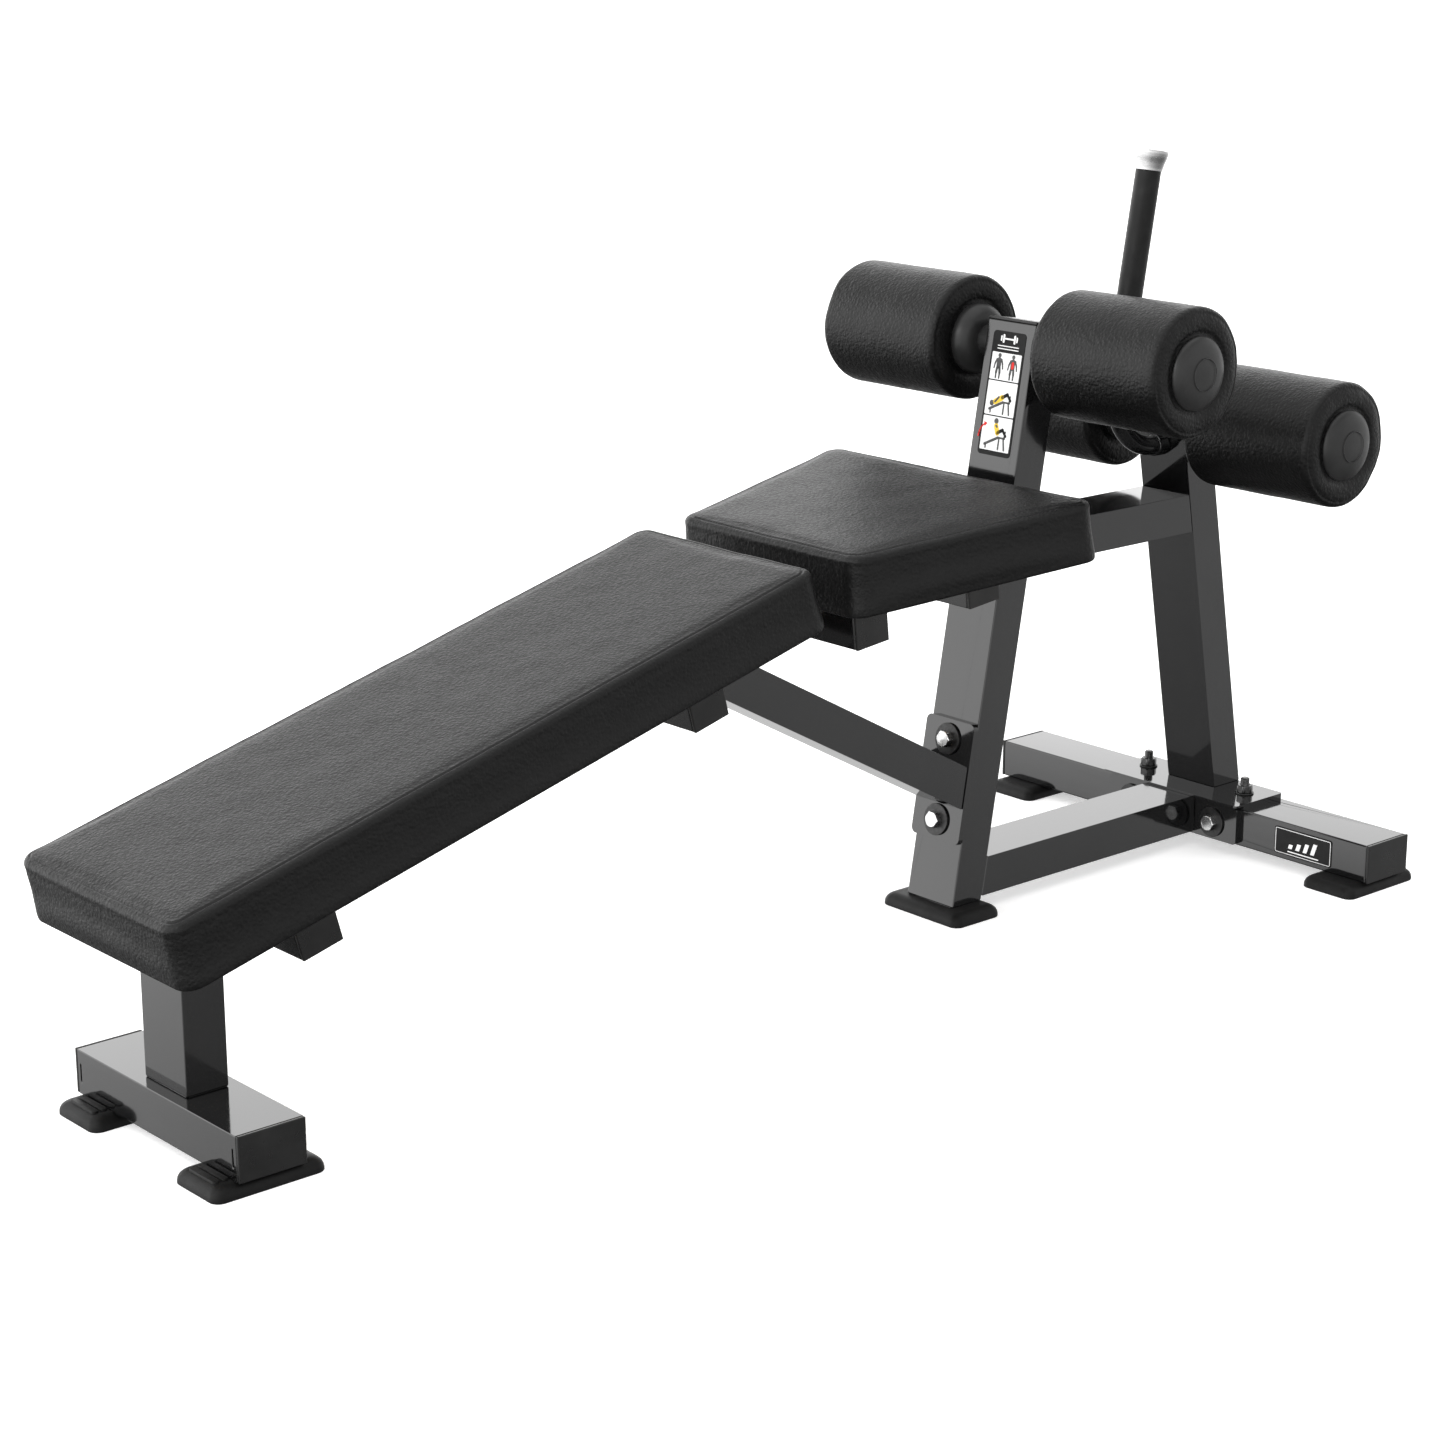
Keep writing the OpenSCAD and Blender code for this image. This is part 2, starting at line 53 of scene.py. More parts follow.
BACK_SLOPE = math.radians(15.1)     # slopes of the two pads, as designed
SEAT_SLOPE = math.radians(6.2)
SEAT_W = (0.294, 0.449)             # seat width at the back pad and at the legs
PAD_R = 0.023                       # corner radius of the pads in plan
BOARD_IN, BOARD_T = 0.018, 0.012    # recess for the board under each pad
PROUD = 0.005                       # how far a cover stands out from its cushion at the sides
PROUD_LOW, PROUD_HIGH = 0.006, 0.003    # the same at its lower and upper end
PROUD_TOP = 0.0028                  # and on top
SEAM_D = 0.0085                     # distance from a pad's edge to its top seam
LEG_LEAN = math.radians(9.75)       # lean of the front leg, its bolts and its plate
ROLL_AROUND = 96                    # points round a roller cover
ROLL_SEAM_AT = math.radians(165)    # where its lengthwise seam lies, from the top
SWELL_FRAMES = 20                   # length of each cloth run
SMOOTH_ROUNDS = 14                  # smoothing of the moves that the cloth makes
SWELL_STIFFNESS = 15.0
CAMERA_YAW, CAMERA_PITCH = math.radians(-41.142), math.radians(15.909)
CAMERA_AIM, CAMERA_DISTANCE = Vector((0.1689, 0.24024, 0.22075)), 3.92734
CAMERA_LENS = 77.77                 # mm, on a 36 mm sensor
FLOOR_HALF = 45.0
scene = bpy.context.scene


# ---------- meshes ----------
def new_object(name, verts, faces, mats, smooth=True, slots=None):
    me = bpy.data.meshes.new(name)
    me.from_pydata([tuple(v) for v in verts], [], [tuple(f) for f in faces])
    me.update()
    for m in mats:
        me.materials.append(m)
    if slots is not None:
        me.polygons.foreach_set("material_index", slots)
    me.polygons.foreach_set("use_smooth", [smooth] * len(me.polygons))
    ob = bpy.data.objects.new(name, me)
    scene.collection.objects.link(ob)
    return ob


def coords(me):
    co = np.empty(len(me.vertices) * 3)
    me.vertices.foreach_get("co", co)
    return co.reshape(-1, 3)


def set_coords(me, co):
    me.vertices.foreach_set("co", np.ascontiguousarray(co, dtype=float).ravel())
    me.update()


def normals(me):
    no = np.empty(len(me.vertices) * 3)
    me.vertex_normals.foreach_get("vector", no)
    return no.reshape(-1, 3)


def noise_at(points, scale, seed):
    """Smooth noise, the same for a seed in every run."""
    off = Vector((seed * 7.13, seed * 3.71, seed * 5.39))
    return np.array([noise.noise(Vector(p) * scale + off) for p in points])


def bump_fn(x, middle, width):
    """A smooth bump of height 1."""
    return np.exp(-(((x - middle) / width) ** 2))


def apply_modifiers(ob):
    """Puts the evaluated mesh in the place of the object's own."""
    deps = bpy.context.evaluated_depsgraph_get()
    me = bpy.data.meshes.new_from_object(ob.evaluated_get(deps))
    old = ob.data
    ob.modifiers.clear()
    ob.data = me
    bpy.data.meshes.remove(old)


def subdivide(ob, levels=1):
    mod = ob.modifiers.new("subdivide", "SUBSURF")
    mod.levels = mod.render_levels = levels
    apply_modifiers(ob)


def outward_faces(ob):
    """Turns a closed mesh's faces so that they look outwards."""
    bm = bmesh.new()
    bm.from_mesh(ob.data)
    bmesh.ops.recalc_face_normals(bm, faces=bm.faces)
    bm.to_mesh(ob.data)
    bm.free()


def smooth_moves(me, moved, rounds):
    """Averages each point's move with its neighbours', which takes out small creases."""
    ends = np.array([e.vertices[:] for e in me.edges])
    both = np.concatenate([ends, ends[:, ::-1]])
    count = 1 + np.bincount(both[:, 0], minlength=len(moved))
    for _ in range(rounds):
        total = moved.copy()
        for k in range(3):
            total[:, k] += np.bincount(both[:, 0], moved[both[:, 1], k], minlength=len(moved))
        moved = total / count[:, None]
    return moved


def inflate(ob, weights, pressure, cap, shrink=0.0):
    """Cloth swells the piece from inside. Weight 1 holds a point, cap limits its move."""
    start = coords(ob.data).copy()
    group = ob.vertex_groups.new(name="held")
    for value in np.unique(weights):
        if value > 0:
            group.add(np.flatnonzero(weights == value).tolist(), float(value), "REPLACE")
    mod = ob.modifiers.new("swell", "CLOTH")
    st = mod.settings
    st.quality = 5
    st.mass = 0.3
    st.tension_stiffness = st.compression_stiffness = SWELL_STIFFNESS
    st.shear_stiffness = 5.0
    st.bending_stiffness = 0.6
    st.use_pressure = True
    st.uniform_pressure_force = pressure
    st.shrink_min = shrink
    st.vertex_group_mass = "held"
    st.pin_stiffness = 1.0
    st.effector_weights.gravity = 0
    mod.collision_settings.use_collision = False
    mod.point_cache.frame_start, mod.point_cache.frame_end = 1, SWELL_FRAMES
    for f in range(1, SWELL_FRAMES + 1):
        scene.frame_set(f)
    deps = bpy.context.evaluated_depsgraph_get()
    done = ob.evaluated_get(deps).to_mesh()
    moved = coords(done) - start
    ob.evaluated_get(deps).to_mesh_clear()
    ob.modifiers.clear()
    ob.vertex_groups.clear()
    scene.frame_set(1)
    moved = smooth_moves(ob.data, moved, SMOOTH_ROUNDS) * (weights < 1)[:, None]
    length = np.linalg.norm(moved, axis=1, keepdims=True)
    limited = cap * np.tanh(length / cap) / np.maximum(length, 1e-9)
    set_coords(ob.data, start + moved * limited)


def node_points(name):
    """Points of a CAD node, without repeats."""
    co = coords(frame["nodes"][name].data)
    return np.unique(np.round(co, 7), axis=0)


def node_parts(name):
    """The separate solids of a CAD node, each as its points."""
    me = frame["nodes"][name].data
    co = np.round(coords(me), 6)
    uniq, inv = np.unique(co, axis=0, return_inverse=True)
    inv = inv.ravel()
    parent = list(range(len(uniq)))

    def find(a):
        while parent[a] != a:
            parent[a] = parent[parent[a]]
            a = parent[a]
        return a

    for edge in me.edges:
        a, b = find(inv[edge.vertices[0]]), find(inv[edge.vertices[1]])
        if a != b:
            parent[a] = b
    root = np.array([find(i) for i in range(len(uniq))])
    parts = [uniq[root == r] for r in np.unique(root)]
    return sorted(parts, key=lambda p: tuple(np.round(p.mean(axis=0), 4)))


# ---------- materials ----------
class Mat:
    """A Principled material and short calls for its texture nodes."""

    def __init__(self, name, scale=(1, 1, 1), **values):
        self.mat = bpy.data.materials.new(name)
        self.mat.use_nodes = True
        self.nodes = self.mat.node_tree.nodes
        self.links = self.mat.node_tree.links
        self.bsdf = self.nodes["Principled BSDF"]
        for key, value in values.items():
            self.bsdf.inputs[key.replace("_", " ")].default_value = value
        co = self.nodes.new("ShaderNodeTexCoord")
        mp = self.nodes.new("ShaderNodeMapping")
        mp.inputs["Scale"].default_value = scale
        self.links.new(co.outputs["Object"], mp.inputs["Vector"])
        self.co = mp.outputs["Vector"]
        self.mat.diffuse_color = (*self.bsdf.inputs["Base Color"].default_value[:3], 1)

    def tex(self, kind, out, **values):
        n = self.nodes.new("ShaderNodeTex" + kind)
        for key, value in values.items():
            if hasattr(n, key):
                setattr(n, key, value)
            else:
                n.inputs[key].default_value = value
        self.links.new(self.co, n.inputs["Vector"])
        return n.outputs[out]

    def noise(self, scale, detail=2.0, rough=0.5):
        return self.tex("Noise", "Fac", Scale=scale, Detail=detail, Roughness=rough)

    def math(self, op, a, b=0.0, clamp=False):
        n = self.nodes.new("ShaderNodeMath")
        n.operation, n.use_clamp = op, clamp
        for i, v in enumerate((a, b)):
            if isinstance(v, (int, float)):
                n.inputs[i].default_value = v
            else:
                self.links.new(v, n.inputs[i])
        return n.outputs[0]

    def ramp(self, fac, *stops):
        n = self.nodes.new("ShaderNodeValToRGB")
        el = n.color_ramp.elements
        while len(el) < len(stops):
            el.new(0.5)
        for e, (at, col) in zip(el, stops):
            e.position = at
            e.color = (*col, 1) if isinstance(col, tuple) else (col, col, col, 1)
        self.links.new(fac, n.inputs["Fac"])
        return n.outputs["Color"]

    def to(self, socket, out):
        self.links.new(out, self.bsdf.inputs[socket])
        return self

    def bump(self, height, distance, strength=1.0, after=None):
        n = self.nodes.new("ShaderNodeBump")
        n.inputs["Distance"].default_value = distance
        n.inputs["Strength"].default_value = strength
        self.links.new(height, n.inputs["Height"])
        if after is not None:
            self.links.new(after, n.inputs["Normal"])
        return n.outputs["Normal"]


def paint_material():
    m = Mat("gloss_black_paint", IOR=1.55, Coat_Weight=0.25, Coat_Roughness=0.03)
    cloud = m.noise(9.0, 3.0)
    speck = m.noise(900.0, 1.0)
    m.to("Base Color", m.ramp(cloud, (0.3, (0.0030, 0.0030, 0.0032)),
                              (0.7, (0.0060, 0.0060, 0.0062))))
    scuff = m.ramp(m.noise(55.0, 6.0, 0.7), (0.62, 0.0), (0.74, 0.12))
    m.to("Roughness", m.math("ADD", m.math("MULTIPLY", cloud, 0.08), m.math(
        "ADD", 0.05, m.math("MULTIPLY", scuff, 0.5))))
    peel = m.bump(m.noise(260.0, 1.0), 0.00003, 0.35)
    m.to("Normal", m.bump(speck, 0.000008, 0.25, peel))
    return m.mat


def plastic_material(name, low, high, rough, grain=1400.0):
    m = Mat(name, IOR=1.49, Specular_IOR_Level=0.34)
    cloud = m.noise(30.0, 3.0)
    m.to("Base Color", m.ramp(cloud, (0.3, low), (0.7, high)))
    m.to("Roughness", m.ramp(m.noise(70.0, 4.0), (0.3, rough - 0.05), (0.7, rough + 0.06)))
    m.to("Normal", m.bump(m.noise(grain, 2.0), 0.00006, 0.5))
    return m.mat


def rubber_material(name, shade, rough, grain):
    m = Mat(name, IOR=1.45, Specular_IOR_Level=0.20, Sheen_Weight=0.02, Sheen_Roughness=0.5)
    dust = m.ramp(m.noise(26.0, 6.0, 0.65), (0.45, shade), (0.75, shade * 2.3))
    m.to("Base Color", dust)
    m.to("Roughness", m.ramp(m.noise(60.0, 3.0), (0.3, rough - 0.06), (0.7, rough + 0.06)))
    m.to("Normal", m.bump(m.noise(grain, 3.0, 0.6), 0.00018, 0.6))
    return m.mat


def leather_material(name, low, high, rough, cell, depth):
    """Embossed leather: soft uneven pebbles, finer pores on them and a few creases."""
    m = Mat(name, IOR=1.5, Specular_IOR_Level=0.22)
    peb = m.tex("Voronoi", "Distance", feature="SMOOTH_F1", Scale=cell, Smoothness=0.35,
                Randomness=1.0)
    ridge = m.noise(cell * 0.8, 3.0, 0.55)
    fine = m.noise(cell * 4.0, 2.0, 0.6)
    crease = m.ramp(m.noise(cell * 0.22, 5.0, 0.62), (0.47, 1.0), (0.5, 0.0), (0.53, 1.0))
    height = m.math("ADD", m.math("MULTIPLY", peb, -0.9), m.math("MULTIPLY", fine, 0.22))
    height = m.math("ADD", height, m.math("MULTIPLY", ridge, 1.3))
    height = m.math("ADD", height, m.math("MULTIPLY", crease, 0.18))
    tone = m.math("ADD", m.math("MULTIPLY", m.noise(22.0, 4.0), 0.35),
                  m.math("MULTIPLY", ridge, 0.65))
    m.to("Base Color", m.ramp(tone, (0.30, low), (0.70, high)))
    m.to("Roughness", m.ramp(peb, (0.1, rough - 0.03), (0.8, rough + 0.08)))
    m.to("Normal", m.bump(height, depth, 0.8))
    return m.mat


def steel_material(name, low, high, rough, stretch=(1, 1, 1), metallic=1.0):
    m = Mat(name, scale=stretch, Metallic=metallic, Anisotropic=0.3)
    spangle = m.tex("Voronoi", "Distance", Scale=420.0)
    tone = m.math("ADD", m.noise(160.0, 5.0, 0.7), m.math("MULTIPLY", spangle, 0.25))
    m.to("Base Color", m.ramp(tone, (0.3, low), (0.8, high)))
    m.to("Roughness", m.ramp(m.noise(240.0, 5.0, 0.7), (0.3, rough), (0.75, rough + 0.16)))
    m.to("Normal", m.bump(m.noise(700.0, 4.0, 0.7), 0.00003, 0.5))
    return m.mat


def ply_material():
    m = Mat("plywood", scale=(1, 5.5, 5.5), IOR=1.45, Specular_IOR_Level=0.3)
    rings = m.tex("Wave", "Fac", wave_type="BANDS", bands_direction="Y", Scale=16.0,
                  Distortion=9.0, Detail=3.0)
    grain = m.noise(140.0, 6.0, 0.7)
    tone = m.math("ADD", m.math("MULTIPLY", rings, 0.55), m.math("MULTIPLY", grain, 0.5))
    m.to("Base Color", m.ramp(tone, (0.2, (0.34, 0.22, 0.12)), (0.8, (0.58, 0.42, 0.26))))
    m.to("Roughness", m.ramp(grain, (0.2, 0.55), (0.8, 0.75)))
    m.to("Normal", m.bump(tone, 0.0003, 0.5))
    return m.mat


def print_material(name, low, high, rough=0.32):
    m = Mat(name, IOR=1.5, Specular_IOR_Level=0.12)
    m.to("Base Color", m.ramp(m.noise(90.0, 4.0, 0.6), (0.3, low), (0.7, high)))
    m.to("Roughness", m.ramp(m.noise(200.0, 3.0), (0.3, rough), (0.7, rough + 0.1)))
    m.to("Normal", m.bump(m.noise(1500.0, 1.0), 0.00002, 0.3))
    return m.mat


PAINT = paint_material()
PLUG = plastic_material("moulded_plug_plastic", 0.006, 0.010, 0.30)
CORE = plastic_material("satin_cap_plastic", 0.010, 0.016, 0.36, 2200.0)
FOOT = rubber_material("moulded_foot_rubber", 0.0026, 0.48, 1600.0)
GRIP = rubber_material("grip_sleeve_rubber", 0.0045, 0.42, 2600.0)
ZINC = steel_material("zinc_plated_steel", 0.42, 0.66, 0.20)
SMOKE = steel_material("smoked_steel", 0.05, 0.11, 0.22)
OXIDE = steel_material("black_oxide_steel", 0.020, 0.050, 0.34, metallic=0.85)
AXLE = steel_material("black_axle_steel", 0.030, 0.055, 0.26, (1, 6, 1), 0.9)
CHROME = steel_material("turned_polished_steel", 0.38, 0.50, 0.14, (1, 1, 7))
PADS = leather_material("pad_leather", 0.0026, 0.0050, 0.38, 270.0, 0.00052)
ROLLS = leather_material("roller_leather", 0.0018, 0.0034, 0.34, 260.0, 0.00060)
PLY = ply_material()
FILM_BLACK = print_material("black_film", 0.004, 0.007)
FILM_WHITE = print_material("white_film", 0.72, 0.80)
INK_GREY = print_material("grey_ink", 0.05, 0.09)
INK_RED = print_material("red_ink", (0.50, 0.020, 0.018), (0.62, 0.030, 0.024))
INK_YELLOW = print_material("yellow_ink", (0.62, 0.42, 0.03), (0.74, 0.50, 0.05))
BADGE = print_material("gloss_badge_black", 0.006, 0.010, 0.12)

SLOT_MATERIALS = {
    "frame_paint": PAINT, "black_plastic": PLUG, "core_plastic": CORE,
    "foot_rubber": FOOT, "grip_rubber": GRIP, "bright_steel": ZINC,
    "dark_washer": OXIDE, "axle_steel": AXLE, "handle_chrome": CHROME,
    "pad_leather": PADS, "roller_leather": ROLLS, "plywood": PLY,
    "plate_print": FILM_BLACK, "badge_plastic": BADGE,
}
EDGE = {  # rounding of a CAD node's edges by slot: width and segments
    "frame_paint": (0.0020, 3), "black_plastic": (0.0010, 2), "core_plastic": (0.0006, 2),
    "foot_rubber": (0.0024, 3), "grip_rubber": (0.0006, 2), "bright_steel": (0.0004, 2),
    "dark_washer": (0.0005, 2), "axle_steel": (0.0008, 2), "handle_chrome": (0.0004, 2),
    "plywood": (0.0006, 2),
}


def dress_nodes():
    """Gives each CAD node its material and rounded edges."""
    slot_of = {s["node"]: s["material_slot"] for s in frame["record"]["subparts"]}
    for name, ob in frame["nodes"].items():
        slot = slot_of[name]
        for ms in ob.material_slots:
            ms.material = SLOT_MATERIALS[slot]
        if slot not in EDGE:
            continue
        width, segments = EDGE[slot]
        weld = ob.modifiers.new("weld", "WELD")
        weld.merge_threshold = 0.00001
        bev = ob.modifiers.new("edges", "BEVEL")
        bev.width, bev.segments = width, segments
        bev.limit_method, bev.angle_limit = "ANGLE", math.radians(28)
        bev.miter_outer = "MITER_ARC"
        bev.use_clamp_overlap = True
        shade = ob.modifiers.new("shade", "WEIGHTED_NORMAL")
        shade.keep_sharp = False
        shade.weight = 90


# ---------- pads ----------
def pad_rim(length, w0, w1, ns, ny, na):
    """Samples round a pad: foot on the inner outline, way out, and inner grid index."""
    k = math.atan((w1 - w0) / 2 / length)
    x0, x1 = PAD_R, length - PAD_R
    y0 = w0 / 2 + math.tan(k) * x0 - PAD_R / math.cos(k)
    y1 = w0 / 2 + math.tan(k) * x1 - PAD_R / math.cos(k)
    grid = [(x0 + (x1 - x0) * i / ns, (2 * j / ny - 1) * (y0 + (y1 - y0) * i / ns))
            for i in range(ns + 1) for j in range(ny + 1)]
    at = lambda i, j: i * (ny + 1) + j
    side = math.pi / 2 + k
    rim = []

    def straight(cells, ang):
        for c in cells:
            rim.append((grid[c], (math.cos(ang), math.sin(ang)), c))

    def corner(c, a, b):
        for i in range(na):
            t = a + (b - a) * i / na
            rim.append((grid[c], (math.cos(t), math.sin(t)), c))

    straight([at(0, j) for j in range(ny)], math.pi)
    corner(at(0, ny), math.pi, side)
    straight([at(i, ny) for i in range(ns)], side)
    corner(at(ns, ny), side, 0)
    straight([at(ns, j) for j in range(ny, 0, -1)], 0)
    corner(at(ns, 0), 0, -side)
    straight([at(i, 0) for i in range(ns, 0, -1)], -side)
    corner(at(0, 0), -side, -math.pi)
    return grid, rim


def pad_profile(t):
    """Section of a pad's edge from the top inwards to the board recess: (d, n)."""
    roll, foot = 0.0075, 0.003
    pts = [(d, 0.0) for d in (0.0210, 0.0180, 0.0150, 0.0120, 0.0098)]
    for a in range(0, 91, 15):
        s, c = math.sin(math.radians(a)), math.cos(math.radians(a))
        pts.append((roll * (1 - s), -roll * (1 - c)))
    low = t - foot
    steps = 9
    pts += [(0.0, -roll - (low - roll) * i / steps) for i in range(1, steps + 1)]
    for a in (30, 60, 90):
        s, c = math.sin(math.radians(a)), math.cos(math.radians(a))
        pts.append((foot * (1 - c), -low - foot * s))
    pts += [(0.009, -t), (BOARD_IN, -t), (BOARD_IN, -t + BOARD_T), (0.021, -t + BOARD_T)]
    return pts


def pad(name, node, slope, widths, seed):
    """A cover round a cushion node. It is made flat and level, swelled, then tilted."""
    rot = Matrix.Rotation(-slope, 4, "Y")
    back = np.array(rot.to_3x3().inverted())
    pts = node_points(node) @ back.T
    lo, hi = pts.min(axis=0), pts.max(axis=0)
    length = hi[0] - lo[0] + PROUD_LOW + PROUD_HIGH
    thick = hi[2] - lo[2] + PROUD_TOP
    origin = rot @ Vector((lo[0] - PROUD_LOW, 0, hi[2] + PROUD_TOP))
    widths = tuple(w + 2 * PROUD for w in widths or (hi[1] - lo[1],) * 2)
    step = 0.0058
    ns = round((length - 2 * PAD_R) / step)
    ny = round((sum(widths) / 2 - 2 * PAD_R) / step)
    grid, rim = pad_rim(length, *widths, ns, ny, 8)
    prof = pad_profile(thick)
    n_grid, n_rim = len(grid), len(rim)
    verts = [(x, y, 0.0) for x, y in grid]
    for d, n in prof:
        verts += [(f[0] + o[0] * (PAD_R - d), f[1] + o[1] * (PAD_R - d), n)
                  for f, o, _ in rim]
    base = len(verts)
    verts += [(x, y, -thick + BOARD_T) for x, y in grid]
    ring = lambda j, i: n_grid + j * n_rim + i % n_rim
    faces = []
    cell = lambda i, j: i * (ny + 1) + j
    for i in range(ns):
        for j in range(ny):
            q = (cell(i, j), cell(i, j + 1), cell(i + 1, j + 1), cell(i + 1, j))
            faces.append(q[::-1])
            faces.append(tuple(base + v for v in q))
    last = len(prof) - 1
    for i in range(n_rim):
        a, b = rim[i][2], rim[(i + 1) % n_rim][2]
        top = [a, b, ring(0, i + 1), ring(0, i)] if a != b else [a, ring(0, i + 1), ring(0, i)]
        low = [base + a, base + b, ring(last, i + 1), ring(last, i)]
        low = low if a != b else [base + a, ring(last, i + 1), ring(last, i)]
        faces += [top, low[::-1]]
        for j in range(last):
            faces.append((ring(j, i), ring(j, i + 1), ring(j + 1, i + 1), ring(j + 1, i)))
    rest = np.array(verts)

    def place(co):
        return co @ np.array(rot.to_3x3()).T + np.array(origin)

    ob = new_object(name, rest, faces, [PADS])
    outward_faces(ob)
    twin = new_object(name + "_rest", rest, faces, [])
    # a slightly smaller start, which the swelling fills
    small = rest.copy()
    inset, held_to = 0.0006, 0.016
    middle, extent = np.array([length / 2, 0]), np.array([length, widths[0]])
    soft = np.clip((rest[:, 2] + thick - held_to) / 0.02, 0, 1)
    small[:, :2] += (middle - small[:, :2]) * (inset / extent * 2) * soft[:, None]
    small[:, 2] -= inset * soft * (rest[:, 2] > -0.03)
    small[:, 2] += 0.00035 * noise_at(rest, 30.0, seed) * soft
    set_coords(ob.data, small)
    held = np.where(rest[:, 2] < -thick + held_to, 1.0, 0.0)
    inflate(ob, held, 3.5, 0.0028)
    subdivide(ob)
    subdivide(twin)
    param = coords(twin.data).copy()
    bpy.data.objects.remove(twin, do_unlink=True)
    co, no = coords(ob.data).copy(), normals(ob.data).copy()
    set_coords(ob.data, place(pad_detail(co, no, param, length, widths, thick, seed)))
    return ob


def rim_distance(p, length, widths):
    """Distance inside the pad's plan outline, and the share of the way out that is along x."""
    w0, w1 = widths
    k = math.atan((w1 - w0) / 2 / length)
    d_end = np.minimum(p[:, 0], length - p[:, 0])
    half = w0 / 2 + math.tan(k) * p[:, 0]
    d_side = (half - np.abs(p[:, 1])) * math.cos(k)
    a, b = np.maximum(PAD_R - d_end, 0), np.maximum(PAD_R - d_side, 0)
    d = np.where((a > 0) & (b > 0), PAD_R - np.hypot(a, b), np.minimum(d_end, d_side))
    return d, a / np.maximum(a + b, 1e-9)


def pad_detail(co, no, p, length, widths, thick, seed):
    """Seam, gathers and slack of the cover, as moves of up to a millimetre along the normal."""
    d, end = rim_distance(p, length, widths)
    n = p[:, 2]
    top = n > -0.0076
    upper = np.clip((n + thick - 0.014) / 0.012, 0, 1)
    slack = noise_at(p, 16.0, seed) * 0.00036 + noise_at(p, 75.0, seed + 1) * 0.00008
    gather = noise_at(p * np.array([1, 1, 0.35]), 120.0, seed + 2)
    near_seam = bump_fn(d, SEAM_D, 0.0011)
    lip = bump_fn(d, SEAM_D + 0.0026, 0.0014)
    move = slack * upper
    move -= np.where(top, near_seam * 0.0011 - lip * 0.00030, 0.0)
    under = bump_fn(n, -0.0120, 0.0036) * (d < 0.003)
    move -= under * (0.0004 + 0.0002 * end) * (1 + 1.1 * gather)
    puck = bump_fn(n, -0.0095, 0.0040) * (d < 0.006)
    move += puck * 0.0004 * gather
    fold = np.clip(noise_at(p * np.array([1, 1, 0.25]), 46.0, seed + 3) - 0.18, 0, 1)
    move -= fold * 0.0005 * bump_fn(n, -0.022, 0.012) * (d < 0.003)
    return co + no * move[:, None]


